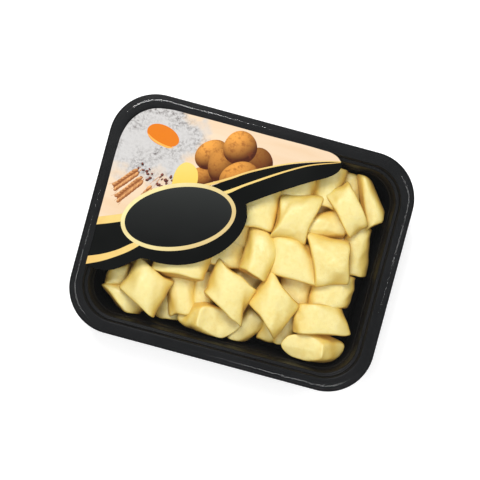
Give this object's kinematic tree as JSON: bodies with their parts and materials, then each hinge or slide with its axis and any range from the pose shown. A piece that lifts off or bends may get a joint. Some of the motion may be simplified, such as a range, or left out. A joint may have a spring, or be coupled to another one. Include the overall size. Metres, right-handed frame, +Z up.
{
  "type": "sealed tray pack of potato gnocchi",
  "caption": "Black thermoformed tray heaped with slant-cut potato gnocchi under a sealed lidding film, partly printed and partly clear.",
  "frame": {"origin": "middle of the tray's footprint, on the surface that the pack stands on", "axes": "+X along the tray's long side, +Y along its short side towards the printed corner, +Z up towards the film"},
  "size_m": [0.227, 0.178, 0.0457],
  "materials": {
    "tray_plastic": "glossy black thermoformed sheet",
    "gnocchi_dough": "moist satin boiled potato dough, pale yellow",
    "clear_film": "clear glossy lidding film",
    "film_print": "opaque printed ink on the film, black with pale gold lines and a food picture"
  },
  "bodies": {
    "root": {"tray": "tray_plastic", "gnocchi_heap": "gnocchi_dough", "lid_film": "clear_film"}
  },
  "joints": []
}
